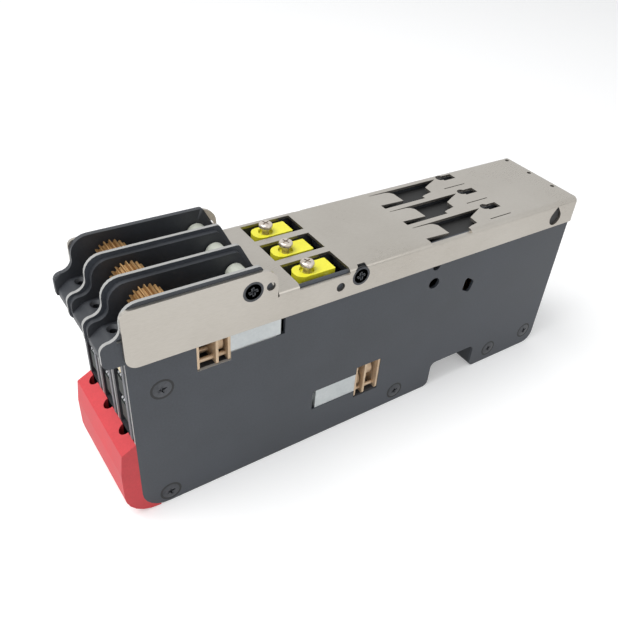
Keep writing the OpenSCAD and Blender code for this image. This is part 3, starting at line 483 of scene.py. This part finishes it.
def add_lead(bm, y, z, side):
    """Gull-wing lead from the chip's edge down to the board."""
    foot, sole = BOARD_BACK - 0.25, BOARD_BACK - 0.02
    lead = [(0.55, z - side * 0.1), (0.55, z + side * 0.5), (foot, z + side * 0.9), (foot, z + side * 1.5),
            (sole, z + side * 1.5), (sole, z + side * 0.7), (0.85, z + side * 0.35), (0.85, z - side * 0.1)]
    prism(bm, [Vector(p) for p in lead], "Y", y - LEAD_HALF, y + LEAD_HALF)


def add_solder(bm, y, z):
    corners = [(y + a * 0.5, z + b * 0.35, 0.2) for a, b in ((-1, -1), (1, -1), (1, 1), (-1, 1))]
    prism(bm, rounded(corners, 3), "X", BOARD_BACK - 0.55, BOARD_BACK - 0.01)


for k, y in enumerate(lanes):
    board_y = y + PLATE + BOARD_INSET
    bm = bmesh.new()
    for z0, z1 in CHIPS:
        for side, z in ((-1, z0), (1, z1)):
            for j in range(4):
                add_lead(bm, board_y + LEAD_FIRST + LEAD_PITCH * j, z, side)
        for j in range(3):
            add_solder(bm, board_y + SOLDER_FIRST + SOLDER_PITCH * j, z1 + SOLDER_RISE)
    finish_piece(to_object(bm), f"board_leads_{k + 1}", "bright_steel")

# ---- floor, light and camera ----

FLOOR_GLOW = 0.3


def stage_material():
    """White floor with a glow that only the camera and reflections see."""
    m = bpy.data.materials.new("studio_floor")
    m.use_nodes = True
    tree = m.node_tree
    bsdf = tree.nodes["Principled BSDF"]
    plug(tree, bsdf, {"Base Color": (0.78, 0.78, 0.78, 1), "Roughness": 0.9})
    path = node(tree, "LightPath").outputs
    seen = maths(tree, "MAXIMUM", path["Is Camera Ray"], path["Is Glossy Ray"])
    glow = node(tree, "Emission", {"Strength": maths(tree, "MULTIPLY", seen, FLOOR_GLOW)})
    both = node(tree, "AddShader", {0: bsdf.outputs[0], 1: glow.outputs[0]})
    plug(tree, tree.nodes["Material Output"], {"Surface": both.outputs[0]})
    return m


bm = bmesh.new()
bmesh.ops.create_grid(bm, x_segments=8, y_segments=8, size=3.0)
floor = to_object(bm, "studio_floor")
floor.location.z = cad_box[0][2] - 0.0002
floor.data.materials.append(stage_material())

WORLD_LIGHT = 0.5
WORLD_SEEN = 1.0
world = bpy.data.worlds.new("studio")
world.use_nodes = True
bpy.context.scene.world = world
sky = world.node_tree
path = node(sky, "LightPath").outputs
seen = maths(sky, "MAXIMUM", path["Is Camera Ray"], path["Is Glossy Ray"])
seen = maths(sky, "MAXIMUM", seen, path["Is Transmission Ray"])
strength = node(sky, "Mix", {0: seen, 2: WORLD_LIGHT, 3: WORLD_SEEN}).outputs[0]
plug(sky, sky.nodes["Background"], {"Color": (0.97, 0.985, 1.0, 1), "Strength": strength})


def lamp(name, place, target, size, power):
    data = bpy.data.lights.new(name, "AREA")
    data.shape = "RECTANGLE"
    data.size, data.size_y = size
    data.energy = power
    o = bpy.data.objects.new(name, data)
    o.location = place
    o.rotation_mode = "QUATERNION"
    o.rotation_quaternion = (Vector(target) - Vector(place)).to_track_quat("-Z", "Y")
    bpy.context.collection.objects.link(o)


lamp("key", (-0.35, 0.10, 0.75), (0, 0, 0.04), (0.5, 0.5), 5.0)
lamp("side", (-0.75, -0.25, 0.35), (-0.03, 0, 0.04), (0.5, 0.4), 1.2)
lamp("fill", (0.25, -0.8, 0.45), (0, 0, 0.03), (0.6, 0.4), 0.8)

camera = bpy.data.cameras.new("camera")
camera.lens = 40.30
camera.sensor_width = 36
camera.shift_x = -0.0661
camera.shift_y = 0.0376
camera.clip_start = 0.01
camera.clip_end = 20
eye = bpy.data.objects.new("camera", camera)
# axes and place of the camera that was fitted to the object's straight edges
right = Vector((0.81003, -0.57835, 0.09681))
down = Vector((-0.30189, -0.55283, -0.77669))
ahead = Vector((0.50271, 0.59991, -0.62241))
pose = Matrix((right, -down, -ahead)).transposed().to_4x4()
pose.translation = Vector((-0.10684, -0.13150, 0.15690))
eye.matrix_world = pose
bpy.context.collection.objects.link(eye)
bpy.context.scene.camera = eye
bpy.context.scene.view_settings.view_transform = "Standard"
